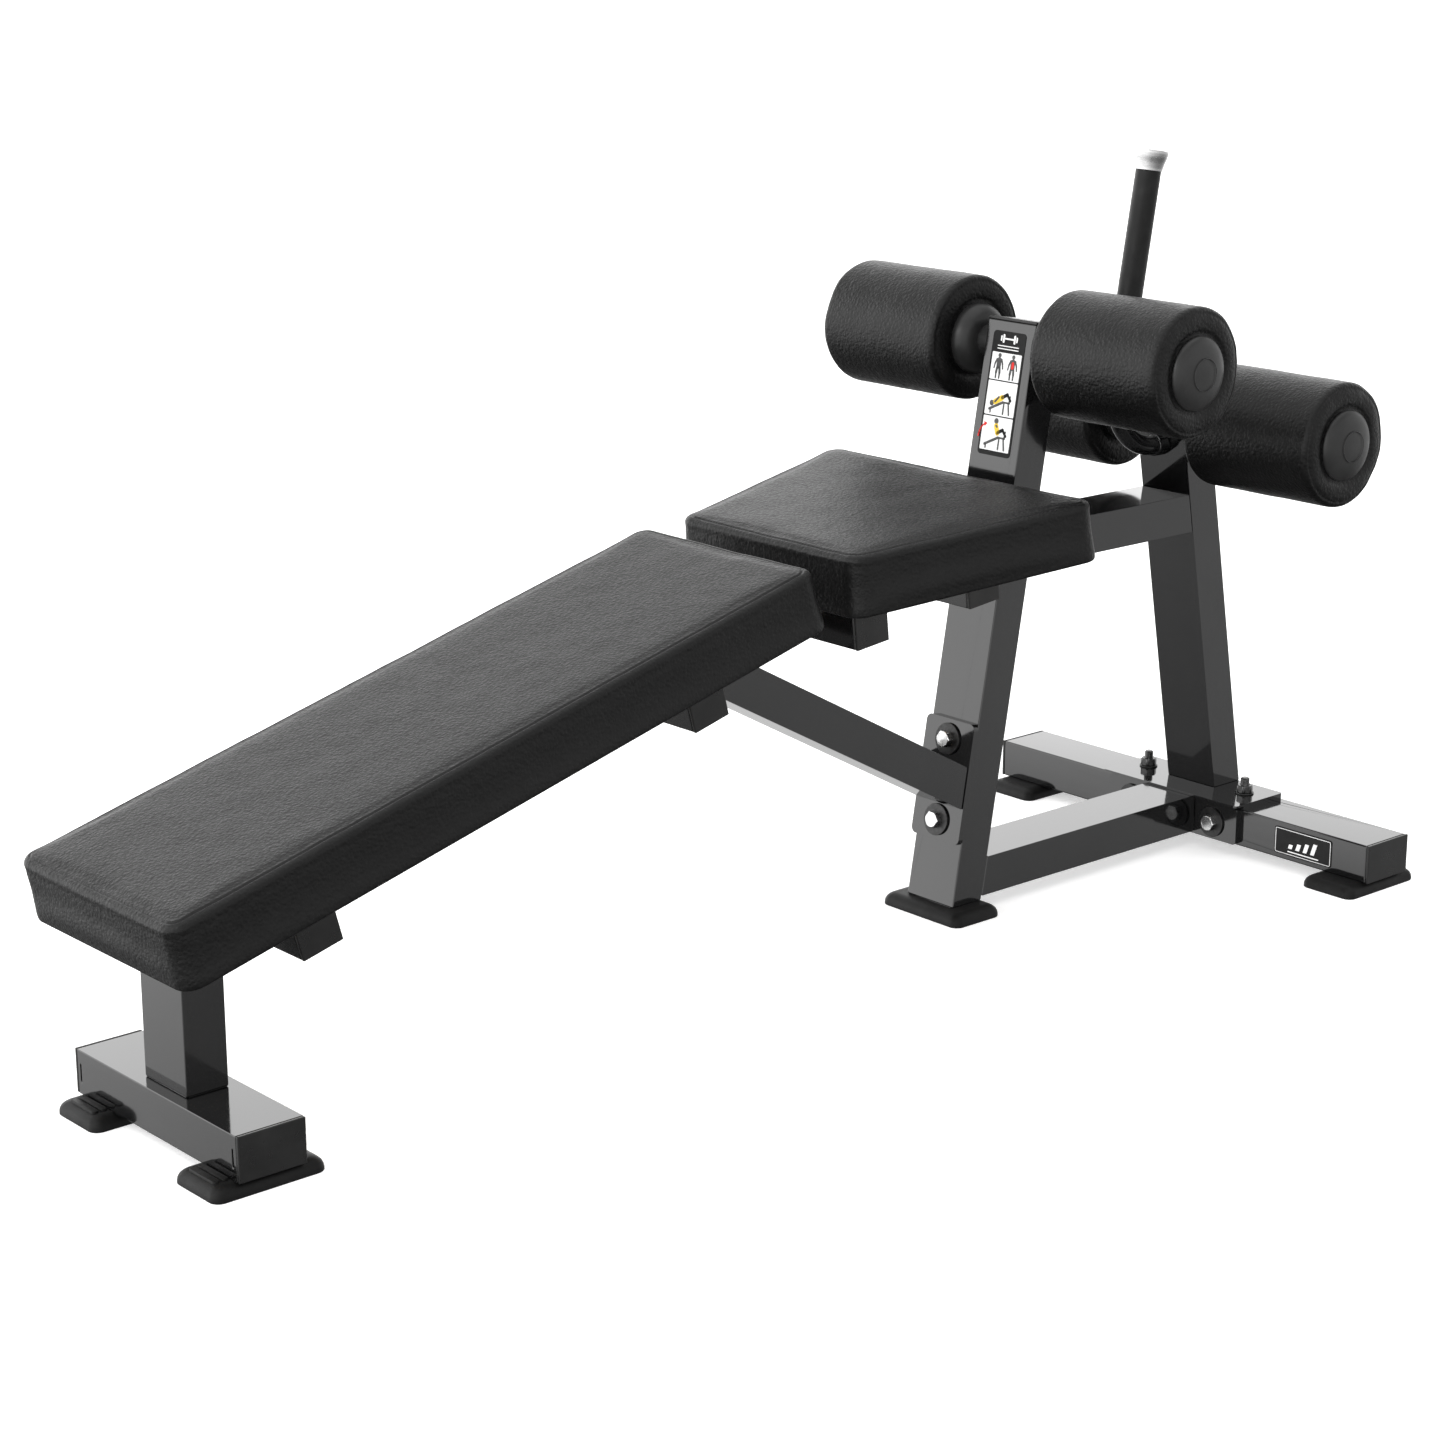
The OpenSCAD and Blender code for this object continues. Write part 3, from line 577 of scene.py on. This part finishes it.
# ---------- rollers ----------
def sleeve(name, node, seed):
    """The stitched cover of one foam roller: a turned section round Y, swelled, then creased."""
    pts = node_points(node)
    lo, hi = pts.min(axis=0), pts.max(axis=0)
    cx, cz = (lo[0] + hi[0]) / 2, (lo[2] + hi[2]) / 2
    side = 1 if hi[1] > 0 else -1
    y0, y1 = min(abs(lo[1]), abs(hi[1])), max(abs(lo[1]), abs(hi[1]))
    radius = (hi[2] - lo[2]) / 2
    bore = np.hypot(pts[:, 0] - cx, pts[:, 2] - cz).min() + 0.0001
    roll = 0.0078
    prof = [(bore, y0), (0.032, y0), (0.0445, y0), (0.050, y0 - 0.0003),
            (0.056, y0 - 0.0012), (0.0630, y0 - 0.0010)]
    for a in range(0, 91, 18):
        s, c = math.sin(math.radians(a)), math.cos(math.radians(a))
        prof.append((radius - roll + roll * s, y0 + roll * (1 - c)))
    steps = 30
    prof += [(radius, y0 + roll + (y1 - y0 - 2 * roll) * i / steps) for i in range(1, steps)]
    for a in range(90, -1, -18):
        s, c = math.sin(math.radians(a)), math.cos(math.radians(a))
        prof.append((radius - roll + roll * s, y1 - roll * (1 - c)))
    prof += [(0.0630, y1 + 0.0010), (0.056, y1 + 0.0012), (0.050, y1 + 0.0003),
             (0.0445, y1), (0.032, y1), (bore, y1)]
    prof += [(bore, y1 + (y0 - y1) * i / 12) for i in range(1, 12)]
    m = len(prof)
    rest, faces = [], []
    for i in range(ROLL_AROUND):
        t = 2 * math.pi * i / ROLL_AROUND
        rest += [(r * math.sin(t), y * side, r * math.cos(t)) for r, y in prof]
    for i in range(ROLL_AROUND):
        a, b = i * m, (i + 1) % ROLL_AROUND * m
        faces += [(a + j, a + (j + 1) % m, b + (j + 1) % m, b + j) for j in range(m)]
    rest = np.array(rest)
    ob = new_object(name, rest, faces, [ROLLS])
    outward_faces(ob)
    twin = new_object(name + "_rest", rest, faces, [])
    rad = np.hypot(rest[:, 0], rest[:, 2])
    free = rad > 0.047
    start = rest.copy()
    start[free] *= np.array([1 - 0.0002 / radius, 1, 1 - 0.0002 / radius])
    start += (0.0004 * noise_at(rest, 28.0, seed) * free)[:, None] * rest / radius
    set_coords(ob.data, start)
    inflate(ob, np.where(free, 0.0, 1.0), 2.5, 0.0020, shrink=0.002)
    subdivide(ob)
    subdivide(twin)
    p = coords(twin.data).copy()
    bpy.data.objects.remove(twin, do_unlink=True)
    co, no = coords(ob.data).copy(), normals(ob.data).copy()
    rad = np.hypot(p[:, 0], p[:, 2])
    along = np.abs(p[:, 1])
    edge = np.minimum(along - y0, y1 - along)
    outer = rad > 0.046
    slack = noise_at(p * np.array([1, 0.6, 1]), 22.0, seed) * 0.0005 \
        + noise_at(p, 80.0, seed + 1) * 0.00010
    gather = noise_at(p * np.array([1, 0.3, 1]), 95.0, seed + 2)
    end_face = (edge < 0.004) & outer
    move = slack * outer
    move -= bump_fn(rad, radius - roll + 0.0005, 0.0015) * end_face * 0.0010
    move += gather * bump_fn(rad, radius - roll, 0.006) * end_face * 0.0002
    move += gather * bump_fn(edge, roll * 0.6, 0.007) * (rad > radius - 0.006) * 0.00025
    move -= bump_fn(rad, 0.0465, 0.0022) * end_face * 0.0020
    theta = np.arctan2(p[:, 0], p[:, 2])
    arc = (theta - ROLL_SEAM_AT) * radius
    on_body = (edge > 0.004) & outer
    move -= (bump_fn(arc, 0, 0.0012) * 0.0009 - bump_fn(arc, 0.003, 0.0015) * 0.0003) * on_body
    set_coords(ob.data, co + no * move[:, None] + np.array([cx, 0, cz]))
    return ob


def radial_piece(rings, close, place, around=72):
    """Closed piece from rings of (z, radius or function of the angle). `close` joins the last
    ring to the first; otherwise both ends are capped."""
    th = np.linspace(0, 2 * math.pi, around, endpoint=False)
    verts, faces = [], []
    for z, fn in rings:
        r = fn(th) if callable(fn) else np.full(around, fn)
        verts += [place @ Vector((a * math.cos(t), a * math.sin(t), z)) for a, t in zip(r, th)]
    n = len(rings)
    for j in range(n if close else n - 1):
        for i in range(around):
            a, b = j * around, (j + 1) % n * around
            faces.append((a + i, a + (i + 1) % around, b + (i + 1) % around, b + i))
    if not close:
        faces.append(tuple(range(around))[::-1])
        faces.append(tuple((n - 1) * around + i for i in range(around)))
    return verts, faces


def join(name, parts, mats, smooth=True, slots=None):
    """One object from several (verts, faces) lists, with a material index for each."""
    verts, faces, idx = [], [], []
    for k, (v, f) in enumerate(parts):
        off = len(verts)
        verts += list(v)
        faces += [tuple(off + i for i in q) for q in f]
        idx += [0 if slots is None else slots[k]] * len(f)
    return new_object(name, verts, faces, mats, smooth, idx)


def smooth_by_angle(ob, degrees):
    """Leaves an edge sharp where its faces turn by more than this angle."""
    me = ob.data
    limit = math.radians(degrees)
    bm = bmesh.new()
    bm.from_mesh(me)
    for e in bm.edges:
        if len(e.link_faces) == 2:
            e.smooth = e.calc_face_angle(0) < limit
    bm.to_mesh(me)
    bm.free()


def hex_radius(corner, turn):
    flat = corner * math.cos(math.pi / 6)
    return lambda th: flat / np.cos((th - turn + math.pi / 6) % (math.pi / 3) - math.pi / 6)


def hex_rings(corner, turn, z0, z1, chamfer_low=False):
    """Rings of a hexagon with turned corners at z1, and at z0 too where asked."""
    hexa = hex_radius(corner, turn)
    face = corner * math.cos(math.pi / 6) * 0.96
    slope = math.tan(math.radians(30))
    drop = (corner - face) * slope

    def cut(far):
        return lambda th: np.minimum(hexa(th), face + far / slope)

    low = [(z0, hexa)]
    if chamfer_low:
        low = [(z0 + far, cut(far)) for far in (0.0, drop * 0.5, drop)]
    return low + [(z1 - far, cut(far)) for far in (drop, drop * 0.5, 0.0)]


def bolts(name, node, axis, thread, mat):
    """Hexagon bolts with turned heads; the threaded end is cut to `thread` metres."""
    parts = []
    axis = np.array(Vector(axis).normalized())
    side = np.array(Vector(axis).orthogonal().normalized())
    for part in node_parts(node):
        t = part @ axis
        u = part - np.outer(t, axis)
        centre = u.mean(axis=0)
        r = np.linalg.norm(u - centre, axis=1)
        for sign in (1, -1):
            end = (t * sign) > (t * sign).max() - 1e-5
            if r[end].max() > r.max() * 0.9:
                head_end = sign
        big = r > r.max() * 0.7
        z = t * head_end
        top, seat, tip = z.max(), z[big].min(), z.min()
        corner = r.max()
        shank = r[z < seat - 1e-5].max()
        far = u[big][np.argmax(r[big])] - centre
        ax = axis * head_end
        w = np.cross(ax, side)
        turn = math.atan2(far @ w, far @ side)
        place = Matrix((side, w, ax)).transposed().to_4x4()
        place.translation = Vector(centre)
        face = corner * 0.80
        rings = [(tip, shank * 0.72), (tip + shank * 0.25, shank * 0.97)]
        if thread:
            pitch, cut = shank * 0.29, shank * 0.10
            z1 = tip + shank * 0.25
            count = int(thread / (pitch / 6))
            for i in range(1, count):
                zz = z1 + i * pitch / 6
                rings.append((zz, lambda th, q=i / 6, rad=shank, deep=cut: rad - deep * np.abs(
                    ((q + th / (2 * math.pi)) % 1.0) * 2 - 1)))
            rings.append((z1 + count * pitch / 6, shank * 0.98))
        rings += [(seat - 0.0004, shank), (seat, shank * 1.02)]
        rings += hex_rings(corner, turn, seat + 0.00005, top)
        rings += [(top, face * 0.93), (top - 0.00035, face * 0.90), (top - 0.00035, face * 0.4),
                  (top - 0.0002, 0.0003)]
        parts.append(radial_piece(rings, False, place))
    ob = join(name, parts, [mat])
    outward_faces(ob)
    smooth_by_angle(ob, 28)
    return ob


def nuts(name, node, axis, mat):
    """Hexagon nuts with both ends turned."""
    parts = []
    axis = np.array(Vector(axis).normalized())
    side = np.array(Vector(axis).orthogonal().normalized())
    w = np.cross(axis, side)
    for part in node_parts(node):
        t = part @ axis
        u = part - np.outer(t, axis)
        centre = u.mean(axis=0)
        r = np.linalg.norm(u - centre, axis=1)
        far = u[np.argmax(r)] - centre
        turn = math.atan2(far @ w, far @ side)
        place = Matrix((side, w, axis)).transposed().to_4x4()
        place.translation = Vector(centre)
        corner, bore = r.max(), r.min()
        z0, z1 = t.min(), t.max()
        rings = hex_rings(corner, turn, z0, z1, True)
        rings += [(z1, bore * 1.12), (z1 - 0.0005, bore), (z0 + 0.0005, bore), (z0, bore * 1.12)]
        parts.append(radial_piece(rings, True, place))
    ob = join(name, parts, [mat])
    outward_faces(ob)
    smooth_by_angle(ob, 28)
    return ob


# ---------- flat printed pieces ----------
def prism(outline, z0, z1, place):
    """A plate with a given outline in its own plane."""
    n = len(outline)
    verts = [place @ Vector((x, y, z)) for z in (z0, z1) for x, y in outline]
    faces = [tuple(range(n))[::-1], tuple(range(n, 2 * n))]
    faces += [(i, (i + 1) % n, n + (i + 1) % n, n + i) for i in range(n)]
    return verts, faces


def round_rect(cx, cy, w, h, r, k=6):
    pts = []
    for sx, sy, a0 in ((1, 1, 0), (-1, 1, 90), (-1, -1, 180), (1, -1, 270)):
        for i in range(k + 1):
            a = math.radians(a0 + 90 * i / k)
            pts.append((cx + sx * (w / 2 - r) + r * math.cos(a),
                        cy + sy * (h / 2 - r) + r * math.sin(a)))
    return pts


def stroke(a, b, w, k=5):
    """Outline of a thick line with round ends, where w is its width."""
    ang = math.atan2(b[1] - a[1], b[0] - a[0])
    pts = []
    for c, a0 in ((b, ang - math.pi / 2), (a, ang + math.pi / 2)):
        for i in range(k + 1):
            t = a0 + math.pi * i / k
            pts.append((c[0] + w / 2 * math.cos(t), c[1] + w / 2 * math.sin(t)))
    return pts


def disc(c, r, k=16):
    return [(c[0] + r * math.cos(2 * math.pi * i / k), c[1] + r * math.sin(2 * math.pi * i / k))
            for i in range(k)]


def plate_place(node, up, out):
    """Matrix from a plate's own plane (x across, y up, z out of its face) and its size."""
    up, out = Vector(up).normalized(), Vector(out).normalized()
    across = up.cross(out).normalized()
    pts = node_points(node)
    ax = [np.array(v) for v in (across, up, out)]
    lo = np.array([(pts @ a).min() for a in ax])
    hi = np.array([(pts @ a).max() for a in ax])
    mid = (lo + hi) / 2
    place = Matrix((across, up, out)).transposed().to_4x4()
    place.translation = across * mid[0] + up * mid[1] + out * lo[2]
    return place, hi - lo


def loft(outlines, place=None):
    """Closed shape through outlines of equal length, each (z, points)."""
    n = len(outlines[0][1])
    verts = [Vector((x, y, z)) for z, pts in outlines for x, y in pts]
    if place is not None:
        verts = [place @ v for v in verts]
    faces = [tuple(range(n))[::-1], tuple(range((len(outlines) - 1) * n, len(outlines) * n))]
    for j in range(len(outlines) - 1):
        for i in range(n):
            a, b = j * n, (j + 1) * n
            faces.append((a + i, a + (i + 1) % n, b + (i + 1) % n, b + i))
    return verts, faces


def feet(name, node, bars):
    """Moulded rubber feet with rounded shoulders, and two raised bars where asked."""
    # height above the floor, and how far in from the outline
    shoulder = ((0.0, 0.0008), (0.0009, 0.0), (0.0040, 0.0), (0.0072, 0.0006),
                (0.0102, 0.0020), (0.0128, 0.0044), (0.0147, 0.0074), (0.0157, 0.0106),
                (0.0160, 0.0132))
    parts = []
    for part in node_parts(node):
        lo, hi = part.min(axis=0), part.max(axis=0)
        (cx, cy, _), (w, d, _) = (lo + hi) / 2, hi - lo
        parts.append(loft([(z, round_rect(cx, cy, w - 2 * i, d - 2 * i,
                                          max(0.012 - 0.45 * i, 0.004), 8))
                           for z, i in shoulder]))
        if bars:
            for x in (0.044, 0.054):
                parts.append(loft([(z, round_rect(cx - x, cy, 0.008 - 2 * i, d - 0.032 - 2 * i,
                                                  0.0035 - i, 6))
                                   for z, i in ((0.0135, 0), (0.0174, 0), (0.0180, 0.0003),
                                                (0.0182, 0.0009))]))
    ob = join(name, parts, [FOOT])
    outward_faces(ob)
    smooth_by_angle(ob, 40)
    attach(ob, "frame")
    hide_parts(node)


def placard():
    """Instruction plate: black rounded film, plain header and three pictogram panels."""
    place, size = plate_place("instruction_plate", (math.sin(LEG_LEAN), 0, math.cos(LEG_LEAN)),
                              (-math.cos(LEG_LEAN), 0, math.sin(LEG_LEAN)))
    mm = 0.001
    mats = [FILM_BLACK, FILM_WHITE, INK_GREY, INK_YELLOW, INK_RED]
    parts, slots = [], []
    base = float(size[2])

    def add(outline, mat, low=0.0, high=0.00012, dx=0.0, dy=0.0):
        pts = [((x + dx) * mm, (y + dy) * mm) for x, y in outline]
        parts.append(prism(pts, base + low, base + high, place))
        slots.append(mat)

    w, h = size[0] / mm, size[1] / mm
    add(round_rect(0, 0, w, h, 5), 0, -base, 0.0)
    # header: a plain dumbbell sign over two rules, in place of words
    add(stroke((-9, 66.5), (9, 66.5), 2.0), 1)
    for x in (-9, 9):
        add(stroke((x, 62.6), (x, 70.4), 3.0), 1)
        add(stroke((x * 1.42, 64.2), (x * 1.42, 68.8), 2.2), 1)
    add(stroke((-17, 57.5), (17, 57.5), 1.1), 1)
    add(stroke((-17, 54.0), (17, 54.0), 1.1), 1)
    for y0, y1 in ((16.3, 49.4), (-26.6, 14.7), (-69.6, -28.2)):
        add(round_rect(0, (y0 + y1) / 2, 2 * 24.2, y1 - y0, 1.2), 1)
    ink = dict(low=0.00012, high=0.00020)

    def figure(x, y):
        add(disc((0, 12.8), 2.8), 2, dx=x, dy=y, **ink)
        add(stroke((0, 7.0), (0, 0.0), 7.4), 2, dx=x, dy=y, **ink)
        for s in (-1, 1):
            for a, b, t in (((3.8, 8), (6.2, 2.5), 2.6), ((6.2, 2.5), (7.2, -3), 2.2),
                            ((2.0, -2), (2.9, -8.5), 3.6), ((2.9, -8.5), (2.7, -14.5), 2.6)):
                add(stroke((a[0] * s, a[1]), (b[0] * s, b[1]), t), 2, dx=x, dy=y, **ink)

    top = dict(low=0.0002, high=0.00026)
    figure(-11.5, 33)
    figure(11.5, 33)
    add(stroke((11.5, 38.0), (11.5, 33.0), 4.2), 4, **top)

    def trainer(y, knee, hip, chest, head):
        for a, b, t in (((-17, -14), (4, -4), 3.4), ((-15, -14), (-15, -18), 2.4),
                        ((6, -4), (6, -18), 2.6), ((6, -4), (15, -4), 2.4),
                        ((13, -4), (16, -18), 2.6), ((14, -4), (15, 4), 2.4)):
            add(stroke(a, b, t), 2, dy=y, **ink)
        add(stroke(hip, chest, 7.0), 3, dy=y, **top)
        add(stroke(hip, knee, 4.4), 0, dy=y, **top)
        add(stroke(knee, (16, -1), 3.6), 0, dy=y, **top)
        mid = ((hip[0] + chest[0]) / 2, (hip[1] + chest[1]) / 2 + 3)
        add(stroke(chest, mid, 2.8), 2, dy=y, low=0.00026, high=0.00031)
        add(disc(head, 3.6), 2, dy=y, **top)

    trainer(-5.8, (10, 6), (2, 1.5), (-9, -4.5), (-14, -6.5))
    trainer(-48.9, (10, 6), (2, 1.5), (-1.5, 10), (-2, 15.6))
    arc = [(-19 + 13 * math.cos(t) + 3, -6 + 17 * math.sin(t))
           for t in np.linspace(math.radians(178), math.radians(112), 6)]
    for a, b in zip(arc, arc[1:]):
        add(stroke(a, b, 2.2), 4, dy=-48.9, **ink)
    tip = arc[-1]
    head = [(tip[0] + x, tip[1] + y) for x, y in ((4.6, 1.6), (-1.2, 3.2), (0.6, -3.0))]
    add(head, 4, dy=-48.9, **top)
    ob = join("instruction_placard", parts, mats, False, slots)
    outward_faces(ob)
    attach(ob, "frame")
    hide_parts("instruction_plate")


def badge():
    """Small gloss plate with a thin frame and plain slanted bars, which mean nothing."""
    place, size = plate_place("base_badge", (0, 0, 1), (-1, 0, 0))
    w, h, base = float(size[0]), float(size[1]), float(size[2])
    parts = [prism(round_rect(0, 0, w, h, 0.003), 0.0, base, place)]
    slots = [0]
    outer = round_rect(0, 0, w - 0.003, h - 0.003, 0.002)
    inner = round_rect(0, 0, w - 0.0045, h - 0.0045, 0.0014)
    n = len(outer)
    verts = [place @ Vector((x, y, z)) for z in (base, base + 0.00025)
             for x, y in outer + inner]
    faces = []
    for i in range(n):
        up = 2 * n
        o, p = i, n + i
        oj, pj = (i + 1) % n, n + (i + 1) % n
        faces += [(o, oj, up + oj, up + o), (pj, p, up + p, up + pj),
                  (up + o, up + oj, up + pj, up + p), (oj, o, p, pj)]
    parts.append((verts, faces))
    slots.append(1)
    for i, x in enumerate((-0.020, -0.008, 0.004, 0.016)):
        tall = 0.004 + 0.0022 * i
        bar = [(x - 0.0035, -0.008), (x + 0.0025, -0.008),
               (x + 0.0025 + tall * 0.45, -0.008 + 2 * tall * 0.72),
               (x - 0.0035 + tall * 0.45, -0.008 + 2 * tall * 0.72)]
        parts.append(prism(bar, base, base + 0.0003, place))
        slots.append(1)
    parts.append(prism(round_rect(0.001, -0.0122, 0.050, 0.0014, 0.0006), base,
                       base + 0.0003, place))
    slots.append(1)
    ob = join("base_nameplate", parts, [BADGE, FILM_WHITE], False, slots)
    outward_faces(ob)
    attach(ob, "frame")
    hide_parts("base_badge")


def cap_mark(body, core):
    """Thin raised circle on the outer cap of a roller."""
    lo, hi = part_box(core)
    side = 1 if hi[1] > 0 else -1
    y = hi[1] if side > 0 else lo[1]
    cx, cz = (lo[0] + hi[0]) / 2, (lo[2] + hi[2]) / 2
    axes = Matrix((Vector((1, 0, 0)), Vector((0, 0, -side)), Vector((0, side, 0))))
    place = axes.transposed().to_4x4()
    place.translation = Vector((cx, y, cz))
    rings = [(-0.0001, 0.0184), (0.00028, 0.0187), (0.00028, 0.0193), (-0.0001, 0.0196)]
    ob = join(core + "_mark", [radial_piece(rings, True, place, 96)], [CORE])
    outward_faces(ob)
    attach(ob, body)


def studio():
    """Camera at the photograph's angle, a soft surround, two lights and a pale floor."""
    cam = bpy.data.cameras.new("camera")
    ob = bpy.data.objects.new("camera", cam)
    scene.collection.objects.link(ob)
    yaw, pitch = CAMERA_YAW, CAMERA_PITCH
    back = Vector((math.sin(yaw) * math.cos(pitch), -math.cos(yaw) * math.cos(pitch),
                   math.sin(pitch)))
    ob.location = CAMERA_AIM + back * CAMERA_DISTANCE
    ob.rotation_mode = "QUATERNION"
    ob.rotation_quaternion = (-back).to_track_quat("-Z", "Y")
    cam.sensor_width, cam.lens = 36.0, CAMERA_LENS
    cam.clip_start, cam.clip_end = 0.1, 200
    cam.dof.use_dof = False
    scene.camera = ob

    world = bpy.data.worlds.new("studio")
    world.use_nodes = True
    scene.world = world
    nodes, links = world.node_tree.nodes, world.node_tree.links
    way = nodes.new("ShaderNodeTexCoord")
    split = nodes.new("ShaderNodeSeparateXYZ")
    glow = nodes.new("ShaderNodeValToRGB")
    turn = nodes.new("ShaderNodeVectorMath")
    turn.operation = "DOT_PRODUCT"
    turn.inputs[1].default_value = (-0.6, 0.8, 0.0)
    side = nodes.new("ShaderNodeValToRGB")

    def curve(node, source, stops):
        half = nodes.new("ShaderNodeMath")
        half.operation = "MULTIPLY_ADD"
        half.inputs[1].default_value = half.inputs[2].default_value = 0.5
        links.new(source, half.inputs[0])
        links.new(half.outputs[0], node.inputs["Fac"])
        while len(node.color_ramp.elements) < len(stops):
            node.color_ramp.elements.new(0.5)
        for e, (at, v) in zip(node.color_ramp.elements, stops):
            e.position, e.color = (at + 1) / 2, (v, v, v, 1)

    links.new(way.outputs["Generated"], split.inputs[0])
    links.new(way.outputs["Generated"], turn.inputs[0])
    curve(glow, split.outputs["Z"], ((-1, 0.12), (-0.60, 0.16), (-0.46, 0.45), (-0.36, 0.9),
                                     (-0.27, 1.6), (-0.1, 2.0), (0.25, 2.4), (0.41, 2.4),
                                     (0.5, 1.55), (0.58, 0.7), (0.7, 0.5), (1.0, 0.45)))
    curve(side, turn.outputs["Value"], ((-1, 0.42), (0.1, 0.92), (0.4, 1.1), (1, 1.3)))
    both = nodes.new("ShaderNodeVectorMath")
    both.operation = "MULTIPLY"
    links.new(glow.outputs["Color"], both.inputs[0])
    links.new(side.outputs["Color"], both.inputs[1])
    links.new(both.outputs[0], nodes["Background"].inputs["Color"])
    nodes["Background"].inputs["Strength"].default_value = 1.0
    scene.view_settings.view_transform = "Standard"

    def area(name, at, towards, size, power):
        light = bpy.data.lights.new(name, "AREA")
        light.shape, light.size, light.size_y = "RECTANGLE", size[0], size[1]
        light.energy = power
        lo = bpy.data.objects.new(name, light)
        scene.collection.objects.link(lo)
        lo.location = at
        lo.rotation_mode = "QUATERNION"
        lo.rotation_quaternion = (Vector(towards) - Vector(at)).to_track_quat("-Z", "Y")

    area("left_key", (-3.2, -0.4, 2.6), (0.0, 0.0, 0.4), (1.6, 1.6), 26)
    sun = bpy.data.lights.new("overhead", "SUN")
    sun.energy, sun.angle = 2.1, math.radians(95)
    so = bpy.data.objects.new("overhead", sun)
    scene.collection.objects.link(so)

    m = Mat("pale_floor", IOR=1.45, Specular_IOR_Level=0.2, Emission_Color=(1, 1, 1, 1),
            Emission_Strength=0.5)
    m.to("Base Color", m.ramp(m.noise(0.8, 3.0), (0.3, (0.86, 0.86, 0.86)),
                              (0.7, (0.90, 0.90, 0.90))))
    m.to("Roughness", m.ramp(m.noise(3.0, 3.0), (0.3, 0.75), (0.7, 0.85)))
    s = FLOOR_HALF
    floor = new_object("floor", [(-s, -s, 0), (s, -s, 0), (s, s, 0), (-s, s, 0)],
                       [(0, 1, 2, 3)], [m.mat], False)
    floor.visible_glossy = False


# ---------- build ----------
studio()
dress_nodes()

back = pad("back_pad_cover", "back_cushion", BACK_SLOPE, None, 3)
seat = pad("seat_pad_cover", "seat_cushion", SEAT_SLOPE, SEAT_W, 11)
for ob, node in ((back, "back_cushion"), (seat, "seat_cushion")):
    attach(ob, "frame")
    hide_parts(node)

for k, level in enumerate(("upper", "lower")):
    for j, hand in enumerate(("left", "right")):
        body, core = f"{level}_{hand}_roller_set", f"{level}_{hand}_core"
        ob = sleeve(f"{level}_{hand}_sleeve", f"{level}_{hand}_roller", 20 + 5 * (2 * k + j))
        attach(ob, body)
        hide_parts(f"{level}_{hand}_roller")
        cap_mark(body, core)

LEG_AXIS = (math.cos(LEG_LEAN), 0, -math.sin(LEG_LEAN))
for name, node, axis, thread in (
        ("leg_hex_bolts", "leg_bolts", LEG_AXIS, 0.014),
        ("base_hex_bolts", "base_bolts", (1, 0, 0), 0.014),
        ("plate_hex_bolts", "plate_bolts", (0, 0, 1), 0.024),
        ("axle_end_bolts", "axle_bolts", (0, 1, 0), 0.0)):
    ob = bolts(name, node, axis, thread, SMOKE if node == "plate_bolts" else ZINC)
    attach(ob, "frame")
    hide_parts(node)
for name, node, axis in (("leg_hex_nuts", "leg_nuts", LEG_AXIS),
                         ("base_hex_nuts", "base_nuts", (1, 0, 0)),
                         ("plate_hex_nuts", "plate_nuts", (0, 0, 1))):
    ob = nuts(name, node, axis, SMOKE if node == "plate_nuts" else ZINC)
    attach(ob, "frame")
    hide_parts(node)

feet("front_rubber_feet", "front_feet", True)
feet("leg_rubber_foot", "leg_foot", False)
feet("rear_rubber_feet", "rear_feet", False)
placard()
badge()
